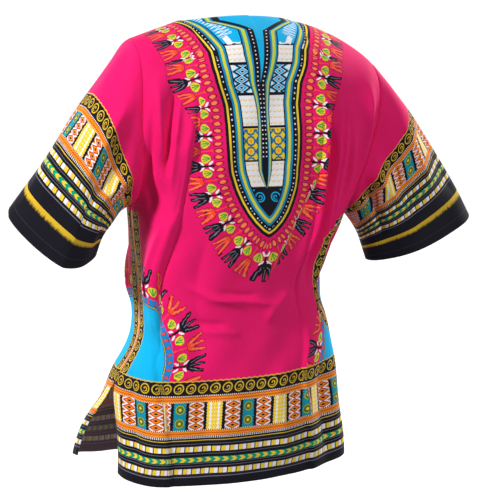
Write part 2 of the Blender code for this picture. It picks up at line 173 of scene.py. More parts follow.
# Sharper creases of the cloth in millimetres, in the same places as the folds. A row has the start, the end,
# the sideways bow, the width and the height of a ridge, or less than 0 for a trough. All are then made wider
# and deeper by two shares. The power sets how rounded they are, and the last three how they fade out.
CREASE_WIDER = 1.5
CREASE_DEEPER = 3.4
CREASE_POWER = 1.5
CREASE_START, CREASE_END = 0.3, 0.25
CREASE_CALM = 0.022
CREASES = {
    "back": (
        (-104, -80, -94, -420, -8, 5, 2.6),
        (-116, -130, -110, -420, -16, 5, -3),
        (-134, -150, -126, -430, -10, 6, 3.2),
        (-150, -120, -156, -420, -14, 5.5, -2.8),
        (-172, -170, -166, -440, -8, 6, 2.8),
        (-186, -250, -176, -440, 4, 5, -2.4),
        (-214, -90, -190, -330, -10, 8, 3),
        (116, -85, 168, -590, -2, 1.9, -1.9),
        (126, -90, 178, -560, -2, 5.5, 1.6),
        (-103, -70, -93, -540, 2, 1.9, -1.8),
        (-150, -90, -151, -560, 3, 1.9, -2),
        (-128, -60, -122, -470, 4, 2.6, -1.8),
        (158, -80, 166, -260, 6, 5, -3),
        (150, -110, 154, -280, 4, 3.5, 1.8),
        (140, -190, 150, -330, -4, 5, -2),
        (160, -300, 176, -470, 4, 6, 2.6),
        (184, -80, 168, -230, 6, 5, 1.8),
        (196, -120, 182, -330, 8, 7, -2.6),
        (120, -420, 10, -462, 6, 4.2, 1.3),
        (90, -452, -60, -470, -5, 3.6, 1.3),
        (140, -480, 40, -492, 4, 4, -1.2),
        (60, -436, -20, -446, 4, 3, -1),
        (100, -505, 20, -512, -3, 3.4, 0.8),
        (175, -470, 120, -560, 6, 6, 2),
        (-90, -440, -20, -500, 6, 5.5, 1.4),
        (-60, -130, -52, -300, 6, 12, 1.2),
        (60, -140, 76, -420, 6, 14, 1.4),
        (90, -300, 100, -600, -4, 12, -1.4),
        (70, -560, 82, -760, 0, 16, -2),
        (-60, -540, -56, -760, 0, 16, 2),
        (206, -560, 204, -740, 0, 10, -2.6),
        (-160, -560, -158, -740, 0, 10, -2.4),
    ),
    "front": (
        (40, -200, 110, -470, -8, 8, 2.4),
        (116, -150, 190, -420, -10, 6, -2.8),
        (140, -300, 200, -480, 4, 6, 2.6),
        (-34, -230, -100, -470, 8, 8, 2.2),
        (-108, -150, -186, -420, 10, 6, -3),
        (-130, -320, -190, -470, -4, 5.5, 2.6),
        (110, -440, -30, -474, 6, 5, 1.2),
        (-120, -450, 20, -490, -6, 5, 1.2),
        (150, -500, 80, -560, 4, 6, -1.4),
        (190, -90, 150, -250, 6, 6, 2.2),
        (-206, -100, -166, -260, -6, 6, 2.2),
        (60, -100, 70, -330, 4, 12, 1.4),
        (-50, -110, -62, -320, -4, 12, -1.3),
        (-70, -560, -64, -740, 0, 16, -2.2),
        (100, -560, 104, -740, 0, 15, -2.4),
    ),
    "sleeve_left": (
        (214, 10, 150, 200, 8, 6, 2.6),
        (236, 20, 196, 240, 4, 5, -2.6),
        (110, 30, 90, 200, 6, 9, 1.8),
        (50, 80, 40, 270, 0, 12, 1.8),
        (300, 20, 330, 220, 4, 6, 2.4),
        (390, 20, 420, 260, 0, 10, -2.2),
    ),
    "sleeve_right": (
        (208, 10, 138, 210, 8, 6, 2.8),
        (232, 20, 186, 240, 4, 5, -2.8),
        (100, 40, 74, 220, 6, 9, 1.8),
        (46, 90, 30, 270, 0, 12, -1.6),
        (296, 20, 326, 220, 4, 6, 2.4),
        (400, 20, 426, 260, 0, 10, 2.2),
    ),
}

# Broad waves of loose cotton: how many there are, their length, and their height in millimetres
SLACK_WAVES = 14
SLACK_LENGTHS = (0.05, 0.16)
SLACK_HEIGHTS = (0.2, 0.55)
SLACK_SEED = {"back": 5, "front": 9, "left": 21, "right": 33}
SLEEVE_SLACK = 0.8

# Cloth tucked out of sight along a fold, in millimetres: side, then height, place and how much is hidden
TUCKS = {
    "back": (
        (1, ((-560, 166, 0), (-530, 164, 24), (-453, 153, 52), (-358, 143, 45), (-244, 130, 38),
             (-167, 121, 22), (-110, 116, 0))),
        (1, ((-780, 146, 50), (-611, 143, 50), (-540, 162, 28), (-490, 180, 0))),
        (-1, ((-490, -28, 0), (-440, -30, 32), (-405, -37, 36), (-366, -53, 36), (-325, -62, 34),
             (-302, -73, 30), (-255, -97, 18), (-200, -112, 0))),
        (-1, ((-520, -92, 0), (-450, -94, 30), (-300, -108, 20), (-100, -106, 0))),
        (-1, ((-550, -150, 0), (-460, -152, 36), (-299, -160, 22), (-129, -149, 0))),
        (-1, ((-780, -122, 36), (-640, -119, 36), (-590, -108, 46), (-530, -103, 46), (-470, -100, 0))),
    ),
    "front": (
        (1, ((-520, 150, 0), (-460, 140, 40), (-300, 92, 24), (-190, 60, 0))),
        (-1, ((-500, -140, 0), (-440, -134, 40), (-300, -80, 22), (-200, -55, 0))),
    ),
}
TUCK_EDGE = 0.007

# Half width of a cut panel, and the share of the worn width from which the print is eased out to it. Above
# the armpit this ends over a short height.
CUT_HALF_WIDTH = 0.305
EASED_FROM = 0.45
ARMHOLE_CUT_FROM, ARMHOLE_CUT_OVER = 0.01, 0.10

# Length of a cut sleeve at its top and under the arm
SLEEVE_CUT_TOP = 0.345
SLEEVE_CUT_UNDER = 0.27

# Where the middle of the print runs, and how much lower the print lies on the front
MIDDLE_HEIGHTS = (-0.755, -0.595, -0.460, -0.352, -0.238, -0.097, -0.010)
MIDDLE_PLACES = {
    "back": (0.023, -0.003, -0.028, -0.017, 0.003, 0.013, -0.004),
    "front": (0, 0, 0, 0, 0, 0, 0),
}
FRONT_PRINT_DROP = 0.044
DROP_FROM, DROP_OVER = 0.06, 0.12

# Half outline of the printed yoke, in millimetres from the middle and up the cloth from the base of the neck
YOKE_OUTLINE = np.array((
    (0, -352), (14, -343), (28, -329), (40, -312), (50, -292), (57.5, -270), (62.5, -246), (65.5, -220),
    (67, -190), (67.5, -160), (68.5, -132), (76, -100), (85.5, -70), (90, -42), (142, 60), (162, 100),
)) / 1000
FRINGE_LINE = 0.030

# Turquoise corners, right and left, the angle that their edges run on by, and the borders that they stand on
CORNER_WIDTH = {"back": (0.088, 0.132), "front": (0.100, 0.100)}
CORNER_HEIGHT = 0.138
CORNER_OVERRUN = 0.25
SIDE_BORDER = 0.030
HEM_BORDER = 0.1744

# How far the right side border is turned to the back, the heights it starts and ends at, and how soon
SIDE_TURN = 0.100
TURN_START, TURN_END = -0.58, -0.36
TURN_IN, TURN_OUT = 0.12, 0.05

# Above the armpits there is no side border: all cloth there counts as this far in from a seam
NO_BORDER = 0.3
NO_BORDER_OVER = 0.006

# Heights of the rows in the printed border. These and all sizes of the print below are millimetres.
DASH_ROWS = (23.95, 60.6)
ARROW_ROW = 42.7
ZIGZAG_ROWS = (87.0, 143.6)
PATCH_ROW = 115.45
SCROLL_ROW = 161.0
BORDER_TOP = 172.4
PATCH_HALF_REPEAT = 58.25

# On a sleeve the border starts higher, over a brushed gold line. Stitches and turned hem are the same there.
SLEEVE_BORDER = 64.0
BRUSH_START, BRUSH_FULL, BRUSH_TOP = 36, 53, 54
STITCH_LINE = 17.5
SIDE_STITCH_LINE = 9.0
SIDE_STITCH_TOP = 150
HEM_FOLD = 19.0

# At heights up the yoke, as shares: how wide the bands beside its inner field are, and how far out they start
YOKE_NARROW = (
    (-270, 0.02), (-255, 0.26), (-240, 0.43), (-215, 0.48), (-190, 0.46), (-165, 0.40), (-140, 0.42),
    (-120, 0.52), (-90, 0.76), (-50, 0.98), (0, 1.0),
)
YOKE_GAP = ((-97, 0.0), (0, 0.09), (32, 0.56))

# Finish of the cotton: the weave in radians to a millimetre, broad and fine unevenness, sheen and relief
WEAVE = 7.9
CLOUD_SCALE, SLUB_SCALE = 7.0, 420.0
REVERSE_SHARE = 0.34
SHEEN, SHEEN_ROUGHNESS = 0.03, 0.45
SHINE = 0.12
RELIEF_STRENGTH, RELIEF_HEIGHT = 0.35, 0.0006

# Rows and columns of the cloth, and how it dips at a sewn seam
SKIRT_ROWS = 46
BODY_ROWS = 88
YOKE_ROWS = 90
COLUMNS_OUT = 42
COLUMNS_IN = 38
EDGE_COLUMN = 0.014
SLEEVE_ROWS = 84
PLACES_AT_ONCE = 4000
SEAM_DIP = 0.0011
SEAM_REACH = 0.0035

# The view, the floor, the room, and the lamps with their place, power, size and colour
CAMERA_AZIMUTH = math.radians(158)
CAMERA_RISE = math.radians(8)
CAMERA_DISTANCE = 3.2
CAMERA_TARGET = Vector((0.0, 0.02, -0.386))
CAMERA_LENS = 142.06
FLOOR_HEIGHT = -0.86
FLOOR_SIZE = 60
ROOM_RADIUS = 25
AMBIENT = 0.20
LAMPS = (
    ("window_light", (3.1, 0.9, 1.3), 124, 0.5, (1.0, 0.99, 0.97)),
    ("back_fill", (-1.4, 3.1, 0.8), 42, 1.0, (0.98, 0.99, 1.0)),
    ("front_key", (-3.0, -1.4, 1.5), 130, 0.6, (1.0, 0.99, 0.97)),
    ("front_fill", (1.4, -3.0, 0.4), 44, 1.2, (0.98, 0.99, 1.0)),
)


def ink(red, green, blue):
    """Turn a screen colour into the linear one that a shader wants."""
    parts = [c / 255 for c in (red, green, blue)]
    return tuple(c / 12.92 if c <= 0.04045 else ((c + 0.055) / 1.055) ** 2.4 for c in parts) + (1.0,)


PINK = ink(240, 12, 108)
TURQUOISE = ink(0, 182, 238)
BLACK = ink(16, 15, 25)
GOLD = ink(222, 182, 42)
YELLOW = ink(250, 212, 50)
ORANGE = ink(254, 152, 22)
RUST = ink(204, 60, 20)
TEAL = ink(0, 150, 174)
GREEN = ink(10, 156, 120)
LEAF = ink(60, 164, 56)
LIME = ink(204, 214, 70)
OLIVE = ink(92, 112, 40)
CORAL = ink(255, 72, 48)
SALMON = ink(255, 142, 96)
WHITE = ink(246, 244, 250)
GREY = ink(118, 116, 134)
LILAC = ink(214, 176, 206)
PEACH = ink(248, 214, 130)
BLUE = ink(20, 132, 210)
WINE = ink(84, 6, 44)
THREAD = ink(58, 54, 66)
HEM_EDGE_GREY = ink(70, 64, 76)
REVERSE = ink(214, 178, 196)

# Printed bands: where each starts, in millimetres or in shares of its figure, and its colour
HEM_STRIPES = (
    (0, BLACK), (14.0, GREY), (15.2, BLACK), (31.8, GREY), (32.9, BLACK), (36.2, GREY), (37.2, BLACK),
    (38.3, GREEN), (47.1, BLACK), (51.5, GREY), (52.6, BLACK), (68.5, GREY), (69.6, BLACK), (74.0, GOLD),
    (75.8, BLACK),
)
DASHES = ((0, WHITE), (0.40, LILAC), (0.47, YELLOW), (0.88, BLACK))
LOZENGE = (
    (0, BLACK), (0.34, ORANGE), (0.70, RUST), (1.06, WHITE), (1.50, RUST), (1.62, ORANGE), (1.8, BLACK),
)
RING = ((0, YELLOW), (0.06, OLIVE), (0.40, LIME), (0.52, OLIVE), (0.62, TEAL))
LEAF_BANDS = ((0, LIME), (0.34, YELLOW), (0.86, WINE))
CORNER_EDGE = ((-100, TURQUOISE), (-14.5, BLACK), (-13.5, GOLD), (-12.0, BLACK), (-11.0, BLUE))
YOKE_DROP = ((0, SALMON), (0.34, CORAL), (0.62, WINE))
YOKE_FIELDS = (
    (-400, BLACK), (-266, WHITE), (-225, BLACK), (-221.4, YELLOW), (-171, BLACK), (-167.4, WHITE),
    (-117.6, BLACK), (-64, WHITE), (-32.6, BLACK), (-28.8, TURQUOISE),
)
LATTICE = (
    (0, BLACK), (0.30, WHITE), (0.42, TURQUOISE), (0.90, WHITE), (1.06, BLACK), (1.5, TURQUOISE),
    (1.75, WHITE),
)
MOSAIC = (
    (0, ORANGE), (0.12, YELLOW), (0.46, BLACK), (0.54, BLUE), (0.72, BLACK), (0.80, TEAL), (0.94, BLACK),
    (1.02, YELLOW),
)
FIELD_EDGE = ((0, BLACK), (12, BLUE), (13.6, TEAL), (15.6, LIME), (21.5, TEAL), (23.6, BLUE), (24.8, BLACK))
YOKE_BORDER = (
    (-40, BLACK), (-29.0, BLUE), (-27.6, TEAL), (-25.4, LIME), (-20.6, TEAL), (-18.2, BLUE), (-16.8, BLACK),
    (-8.6, YELLOW), (-5.2, BLACK),
)


def column(table, names, name):
    """Return one named column of a table."""
    return np.array([row[names.index(name)] for row in table])


def curve(heights, values, at):
    """Return a smooth curve through the table's values that never overshoots them."""
    step = np.diff(heights)
    slope = np.diff(values) / step
    turning = slope[:-1] * slope[1:] <= 0
    before = np.where(turning, 1.0, slope[:-1])
    after = np.where(turning, 1.0, slope[1:])
    bend = np.concatenate(([slope[0]], np.where(turning, 0.0, 2 / (1 / before + 1 / after)), [slope[-1]]))
    at = np.clip(at, heights[0], heights[-1])
    i = np.clip(np.searchsorted(heights, at) - 1, 0, len(step) - 1)
    t = (at - heights[i]) / step[i]
    start = (1 + 2 * t) * (1 - t) ** 2 * values[i] + t * (1 - t) ** 2 * step[i] * bend[i]
    end = t * t * (3 - 2 * t) * values[i + 1] - t * t * (1 - t) * step[i] * bend[i + 1]
    return start + end


def soft_column(table, names, name, at, reach=0.012):
    """Read a column at some heights, averaged over a short reach so that no band shows."""
    heights, values = table_columns(table, names, name)
    taps = ((-2, 1), (-1, 2), (0, 3), (1, 2), (2, 1))
    return sum(weight * curve(heights, values, at + k * reach) for k, weight in taps) / 9


def table_columns(table, names, name):
    """Return a table's first column and the named one."""
    return column(table, names, names[0]), column(table, names, name)


def ease(t):
    """Rise smoothly from 0 to 1 as t does."""
    t = np.clip(t, 0, 1)
    return t * t * (3 - 2 * t)


def shoulder_seam(across):
    """Return x, y and z of the shoulder line, carried on over the neck, and how far into the neck it is."""
    line = np.zeros(across.shape + (3,))
    inside = np.zeros(across.shape)
    for side, sign in (("left", 1), ("right", -1)):
        tip, neck = SHOULDER_TIP[side], NECK_SIDE[side]
        here = across >= 0 if sign > 0 else across < 0
        out = np.abs(across) * abs(tip[0])
        along = np.clip((out - abs(neck[0])) / (abs(tip[0]) - abs(neck[0])), 0, 1)
        from_middle = np.clip(out / abs(neck[0]), 0, 1)
        sag = SHOULDER_SAG[side] * (neck[2] - tip[2]) * 4 * along * (1 - along)
        height = neck[2] + (tip[2] - neck[2]) * along - sag + NECK_RISE * (1 - from_middle ** 2)
        depth = neck[1] + (tip[1] - neck[1]) * along
        line = np.where(here[..., None], np.stack([sign * out, depth, height], -1), line)
        inside = np.where(here, np.sqrt(1 - from_middle ** 2), inside)
    return line[..., 0], line[..., 1], line[..., 2], inside


def neck_column(side):
    """Return the place across at which the shoulder line reaches the side of the neck."""
    return NECK_SIDE[side][0] / abs(SHOULDER_TIP[side][0])


def panel(face, across, up):
    """Return points of a panel before its folds.

    across runs from the right seam at -1 to the left one at 1. up is 0 at the hem, VENT_ROW at the
    top of the vents, 1 at the armpits and 2 at the shoulder seam and neck.
    """
    across, up = np.broadcast_arrays(np.asarray(across, float), np.asarray(up, float))
    sign = 1 if face == "back" else -1
    top_x, top_y, top_z, inside = shoulder_seam(across)
    arm = ARMPIT_HEIGHT + ARMPIT_TILT * across
    hem = curve(*table_columns(HEM, HEM_COLUMNS, face), across)
    skirt = hem + (VENT_TOP - hem) * np.clip(up / VENT_ROW, 0, 1)
    waist = VENT_TOP + (arm - VENT_TOP) * np.clip((up - VENT_ROW) / (1 - VENT_ROW), 0, 1)
    climb = np.clip(up - 1, 0, 1)
    over = np.clip((climb - SHOULDER_ROW) / (1 - SHOULDER_ROW), 0, 1)
    turn = over * (math.pi / 2 - NECK_CUT[face] * inside)
    chest = arm + (top_z - SHOULDER_TURN - arm) * climb / SHOULDER_ROW
    crown = top_z - SHOULDER_TURN + SHOULDER_TURN * np.sin(turn)
    z = np.where(up < VENT_ROW, skirt, np.where(up <= 1, waist, np.where(climb < SHOULDER_ROW, chest, crown)))
    flat = ease((z - arm + FLAT_FROM) / FLAT_OVER)
    ring = np.abs(np.sin(across * math.pi / 2)) ** RING_POWER
    wide = np.sign(across) * (ring + (np.abs(across) - ring) * flat)
    deep = np.sqrt(np.clip(1 - np.abs(wide) ** (2 / RING_POWER), 0, 1))
    names = ("left", "right", "left_seam", "right_seam", face)
    left, right, left_seam, right_seam, depth = (soft_column(RINGS, RING_COLUMNS, name, z) for name in names)
    x = (left - right) / 2 + (left + right) / 2 * wide
    x = x + (top_x - x) * ease((z - arm) / (top_z - arm))
    seam = (left_seam + right_seam) / 2 + (left_seam - right_seam) / 2 * wide
    loop = np.sqrt(1 - (1 - np.clip((z - arm) / ARMHOLE_ROUND, 0, 1)) ** 2)
    calm = ease((z - arm + ARMHOLE_FROM) / ARMHOLE_OVER)
    edge = ARMHOLE_DEPTH[face] * (calm + (loop - calm) * (1 - deep) ** 5)
    power = RING_POWER + (FLAT_POWER - RING_POWER) * flat
    full = seam + sign * (depth * deep ** power + edge * (1 - deep ** power))
    y = np.where(up <= 1, full, top_y + (full - top_y) * np.cos(turn) ** SHOULDER_ROUND)
    (left_from, left_over), (right_from, right_over) = VENT_REACH["left"], VENT_REACH["right"]
    near_left = ease((across - left_from) / left_over)
    near_right = ease((-across - right_from) / right_over)
    x = x + near_left * soft_column(VENTS, VENT_COLUMNS, face + "_x", z)
    y = y + near_left * soft_column(VENTS, VENT_COLUMNS, face + "_y", z)
    y = y + sign * near_right * soft_column(VENTS, VENT_COLUMNS, "right_part", z)
    return np.stack([x, y, z], -1)


def sleeve(side, around, down):
    """Return points of a sleeve before its folds.

    around is 0 at the shoulder seam, 1 at the armpit by way of the back, and 2 at the shoulder again.
    down is 0 at the armhole and 1 at the cuff.
    """
    around, down = np.broadcast_arrays(np.asarray(around, float), np.asarray(down, float))
    seam = np.full(around.shape, 1.0 if side == "left" else -1.0)
    by_back = panel("back", seam, np.where(around <= 1, 2 - around, 2.0))
    by_front = panel("front", seam, np.where(around <= 1, 2.0, around))
    start = np.where((around <= 1)[..., None], by_back, by_front)
    turn = around * math.pi
    flat = CUFF_FLATNESS[side]
    to_top = (np.sign(np.cos(turn)) * np.abs(np.cos(turn)) ** flat)[..., None] * np.array(CUFF_TO_TOP[side])
    to_back = (np.sign(np.sin(turn)) * np.abs(np.sin(turn)) ** flat)[..., None] * np.array(CUFF_TO_BACK[side])
    end = np.array(CUFF_CENTRE[side]) + to_top + to_back
    top = ((1 + np.cos(turn)) / 2)[..., None]
    length = np.linalg.norm(end - start, axis=-1)[..., None]
    leave = (np.array(SLEEVE_START_TOP[side]) * top + np.array(SLEEVE_START_UNDER[side]) * (1 - top)) * length
    reach = (np.array(SLEEVE_END_TOP[side]) * top + np.array(SLEEVE_END_UNDER[side]) * (1 - top)) * length
    t = down[..., None]
    begin = (1 + 2 * t) * (1 - t) ** 2 * start + t * (1 - t) ** 2 * leave
    return begin + t * t * (3 - 2 * t) * end - t * t * (1 - t) * reach


def along_fold(from_x, from_z, run_x, run_z, bow):
    """Return a fold's run and length, each place's share of the way along it, and how far it bows there."""
    length = np.hypot(run_x, run_z)
    share = (from_x * run_x + from_z * run_z) / length ** 2
    inside = np.clip(share, 0, 1)
    return (run_x, run_z), length, share, 4 * bow * inside * (1 - inside)


def fold_height(piece, across, height, calm):
    """Return how far the cloth stands out at each place, from the table of folds."""
    out = np.zeros(across.shape)
    for kind, *row in FOLDS[piece]:
        x, z, to_x, to_z, bow, width, depth = np.array(row) / 1000
        run, length, share, bend = along_fold(across - x, height - z, to_x - x, to_z - z, bow)
        off = (across - (x + run[0] * share + bend)) * abs(run[1]) / length / width
        fade = ease(share / FOLD_START) * ease((1 - share) / FOLD_END)
        if kind == "pleat":
            shape = np.where(off > 0, 1 - ease(off / PLEAT_LONG_SIDE), 1 - ease(-off / PLEAT_STEEP_SIDE))
        else:
            shape = np.exp(-off ** 2)
        out = out + (-1 if kind == "trough" else 1) * depth * shape * fade
    return out * calm


def grid_normals(points):
    """Return unit normals of a grid of points, from its rows and columns."""
    normal = np.cross(np.gradient(points, axis=1), np.gradient(points, axis=0))
    return normal / np.linalg.norm(normal, axis=-1)[..., None]


def along_rows(points):
    """Return how far each point of a grid is along its row."""
    steps = np.linalg.norm(np.diff(points, axis=1), axis=-1)
    return np.concatenate((np.zeros((len(points), 1)), np.cumsum(steps, 1)), 1)


def middle_of(columns):
    """Return the number of the column that is nearest the middle."""
    return int(np.argmin(np.abs(columns)))


def seam_normals(grids):
    """Give points that two or more grids share the mean of their normals, so that the walls mitre there."""
    normals = {name: grid_normals(points) * sign for name, (points, sign) in grids.items()}
    shared = {}
    for name, (points, sign) in grids.items():
        for index in np.ndindex(points.shape[:2]):
            key = tuple(np.round(points[index], 6))
            shared.setdefault(key, []).append((name, index))
    for places in shared.values():
        if len(places) > 1:
            mean = sum(normals[name][index] for name, index in places)
            mean = mean / np.linalg.norm(mean)
            for name, index in places:
                normals[name][index] = mean
    return normals


def crease_height(piece, across, height, calm):
    """Return how far the sharp creases stand out at each place."""
    out = np.zeros(across.shape)
    for x, z, to_x, to_z, bow, width, depth in np.array(CREASES[piece]) / 1000:
        run, length, share, bend = along_fold(across - x, height - z, to_x - x, to_z - z, bow)
        off = ((across - x) * abs(run[1]) - (height - z) * run[0] * np.sign(run[1])) / length - bend
        fade = ease(share / CREASE_START) * ease((1 - share) / CREASE_END)
        out = out + CREASE_DEEPER * depth * fade * np.exp(-np.abs(off / width / CREASE_WIDER) ** CREASE_POWER)
    return out * calm


def slack(across, height, seed):
    """Return the slight unevenness of loose cotton, a few broad waves of a millimetre or so."""
    rng = np.random.default_rng(seed)
    out = np.zeros(across.shape)
    for _ in range(SLACK_WAVES):
        way = rng.uniform(-1.1, 1.1)
        size = rng.uniform(*SLACK_LENGTHS)
        wave = (across * math.cos(way) + height * math.sin(way) * 0.6) / size
        out = out + rng.uniform(*SLACK_HEIGHTS) * np.sin(2 * math.pi * wave + rng.uniform(0, 6))
    return out / 1000


def hidden_cloth(face, girth, height):
    """Return how much further across the cloth each place is than it looks, for cloth tucked into folds."""
    out = np.zeros(girth.shape)
    for side, rows in TUCKS[face]:
        heights, places, amounts = np.array(rows).T / 1000
        place = np.interp(height, heights, places)
        amount = np.interp(height, heights, amounts, left=amounts[0], right=amounts[-1])
        out = out + side * amount * ease(0.5 + side * (girth - place) / TUCK_EDGE)
    return out


def outline_points(points, step=0.002):
    """Return a polyline divided finely, and how far along it each point is."""
    points = np.array(points)
    length = np.concatenate(([0], np.cumsum(np.linalg.norm(np.diff(points, axis=0), axis=1))))
    at = np.arange(0, length[-1], step)
    return np.stack([np.interp(at, length, points[:, k]) for k in (0, 1)], -1), at


def nearest(places, line):
    """Return how far each place is from a line of points, and which point is nearest."""
    distance = np.full(len(places), np.inf)
    which = np.zeros(len(places), int)
    for start in range(0, len(places), PLACES_AT_ONCE):
        some = slice(start, start + PLACES_AT_ONCE)
        apart = np.linalg.norm(places[some, None] - line[None], axis=-1)
        which[some] = apart.argmin(1)
        distance[some] = apart.min(1)
    return distance, which


def fringe_curve():
    """Return the rounded line outside the yoke along which its flowers are spaced."""
    line, _ = outline_points(YOKE_OUTLINE)
    along = np.gradient(line, axis=0)
    out = np.stack([along[:, 1], -along[:, 0]], -1)
    out = out / np.linalg.norm(out, axis=1)[:, None]
    first = math.atan2(out[0, 1], out[0, 0])
    turns = np.linspace(-math.pi / 2, first, 24)[:-1]
    tip = YOKE_OUTLINE[0] + FRINGE_LINE * np.stack([np.cos(turns), np.sin(turns)], -1)
    return outline_points(np.concatenate((tip, line + out * FRINGE_LINE)))


def yoke_places(across, rise):
    """Return how far each place is along the yoke's fringe and outside its outline."""
    places = np.stack([np.abs(across).ravel(), rise.ravel()], -1)
    line, _ = outline_points(YOKE_OUTLINE)
    off, _ = nearest(places, line)
    widths, heights = YOKE_OUTLINE.T
    inside = (places[:, 0] < np.interp(places[:, 1], heights, widths)) & (places[:, 1] > heights[0])
    curved, at = fringe_curve()
    _, which = nearest(places, curved)
    return at[which].reshape(across.shape), np.where(inside, -off, off).reshape(across.shape)


def corner_places(from_side, up, width):
    """Return how far each place is along the round edge of a bottom corner and outside it."""
    turns = np.linspace(-CORNER_OVERRUN, math.pi / 2 + CORNER_OVERRUN, 160)
    line = np.stack([width * np.cos(turns), CORNER_HEIGHT * np.sin(turns)], -1)
    line, at = outline_points(line)
    u, v = from_side - SIDE_BORDER, up - HEM_BORDER
    off, which = nearest(np.stack([u.ravel(), v.ravel()], -1), line)
    inside = ((u / width) ** 2 + (v / CORNER_HEIGHT) ** 2 < 1).ravel()
    return at[which].reshape(u.shape), np.where(inside, -off, off).reshape(u.shape)


def panel_places(face, columns, rows):
    """Return a panel's smooth points and, for each, where it is on the flat printed cloth, in millimetres."""
    across, up = np.meshgrid(columns, rows)
    base = panel(face, across, up)
    run = along_rows(base)
    girth = run - run[:, [middle_of(columns)]]
    height = base[..., 2]
    climb = along_rows(base.transpose(1, 0, 2)).T
    turn_row = int(np.argmin(np.abs(rows - 1.5)))
    rise = np.where(up <= rows[turn_row], height, height[turn_row] + climb - climb[turn_row])
    middle = np.interp(height, MIDDLE_HEIGHTS, MIDDLE_PLACES[face])
    flat = girth - middle + hidden_cloth(face, girth, height)
    over_arm = ease((height - ARMPIT_HEIGHT - ARMHOLE_CUT_FROM) / ARMHOLE_CUT_OVER)
    for side, edge in ((1, flat[:, [-1]]), (-1, flat[:, [0]])):
        half = CUT_HALF_WIDTH * (1 - over_arm) + np.abs(edge) * over_arm
        share = np.clip(side * flat / np.abs(edge), 0, 1)
        eased = flat * (1 + (half / np.abs(edge) - 1) * ease((share - EASED_FROM) / (1 - EASED_FROM)))
        flat = np.where(side * flat > 0, eased, flat)
    if face == "front":
        rise = rise + FRONT_PRINT_DROP * (1 - ease((rise + DROP_FROM) / DROP_OVER))
        parting = slit_parting(base, columns)[:, None] * np.exp(-(girth / SLIT_SPREAD) ** 2)
        flat = flat + np.sign(columns)[None, :] * parting
    from_side = np.where(flat > 0, np.abs(flat[:, [-1]]), np.abs(flat[:, [0]])) - np.abs(flat)
    yoke_run, yoke_off = yoke_places(flat, rise)
    right, left = (corner_places(from_side, climb, width) for width in CORNER_WIDTH[face])
    corner_run, corner_off = (np.where(flat > 0, left[k], right[k]) for k in (0, 1))
    turned = SIDE_TURN * ease((height - TURN_START) / TURN_IN) * (1 - ease((height - TURN_END) / TURN_OUT))
    turned_side = np.abs(from_side - turned) if face == "back" else from_side + turned
    from_side = np.where(flat < 0, turned_side, from_side)
    from_side = from_side + ease((height - ARMPIT_HEIGHT) / NO_BORDER_OVER) * NO_BORDER
    places = {"across": flat, "up": climb, "side": from_side, "rise": rise, "yoke_run": yoke_run,
              "yoke_off": yoke_off, "corner_run": corner_run, "corner_off": corner_off}
    return base, girth, {name: value * 1000 for name, value in places.items()}


def slit_parting(points, columns):
    """Return how far each edge of the neck slit stands off the middle, row by row."""
    middle = middle_of(columns)
    drop = points[-1, middle, 2] - points[:, middle, 2]
    return SLIT_WIDTH / 2 * np.clip(1 - drop / SLIT_LENGTH, 0, 1)


def shaped_panel(face, columns, rows):
    """Return a panel's points with its folds, how far it dips at its seams, and its places on the print."""
    base, girth, places = panel_places(face, columns, rows)
    run = along_rows(base)
    from_seam = np.minimum(run, run[:, -1:] - run)
    from_top = ease((2 - rows)[:, None] * STEP_HEIGHT / TOP_CALM)
    outward = grid_normals(base) * (-1 if face == "back" else 1)
    height = base[..., 2]
    lift = fold_height(face, girth, height, ease(from_seam / SEAM_CALM) * from_top)
    calm = ease(from_seam / CREASE_CALM) * from_top
    lift = lift + crease_height(face, girth, height, calm) + slack(girth, height, SLACK_SEED[face]) * calm
    dip = np.exp(-(from_seam / SEAM_REACH) ** 2)
    return base + outward * lift[..., None], dip, places


def shaped_sleeve(side, columns, rows):
    """Return a sleeve's points with its folds, how far it dips at its seams, and its places on the print."""
    around, down = np.meshgrid(columns, rows)
    base = sleeve(side, around % 2, down)
    name = "sleeve_" + side
    calm = ease(down * SLEEVE_LENGTH / SEAM_CALM)
    outward = grid_normals(base) * (-1 if side == "left" else 1)
    round_by, far = (around % 2) * SLEEVE_WIDTH / 2, down * SLEEVE_LENGTH
    lift = fold_height(name, round_by, far, calm) + crease_height(name, round_by, far, calm)
    lift = lift + slack(around * SLEEVE_WIDTH / 2, far, SLACK_SEED[side]) * SLEEVE_SLACK * calm
    under_seam = np.exp(-((1 - np.abs(around)) * SLEEVE_WIDTH / 2 / SEAM_REACH) ** 2) * ease(far / SEAM_CALM)
    dip = np.maximum(np.exp(-(far / SEAM_REACH) ** 2), under_seam)
    run = along_rows(base.transpose(1, 0, 2)).T
    cut = SLEEVE_CUT_UNDER + (SLEEVE_CUT_TOP - SLEEVE_CUT_UNDER) * (1 + np.cos(around * math.pi)) / 2
    up = (1 - run / run[-1]) * cut
    places = {"across": around * SLEEVE_WIDTH / 2 * 1000, "up": up * 1000}
    return base + outward * lift[..., None], dip, places


def grid_faces(index):
    """Return a grid's four-sided faces from the numbers of its points."""
    a, b, c, d = index[:-1, :-1], index[:-1, 1:], index[1:, 1:], index[1:, :-1]
    faces = np.stack([a, b, c, d], -1).reshape(-1, 4)
    return faces[[len(set(face)) == 4 for face in faces.tolist()]]


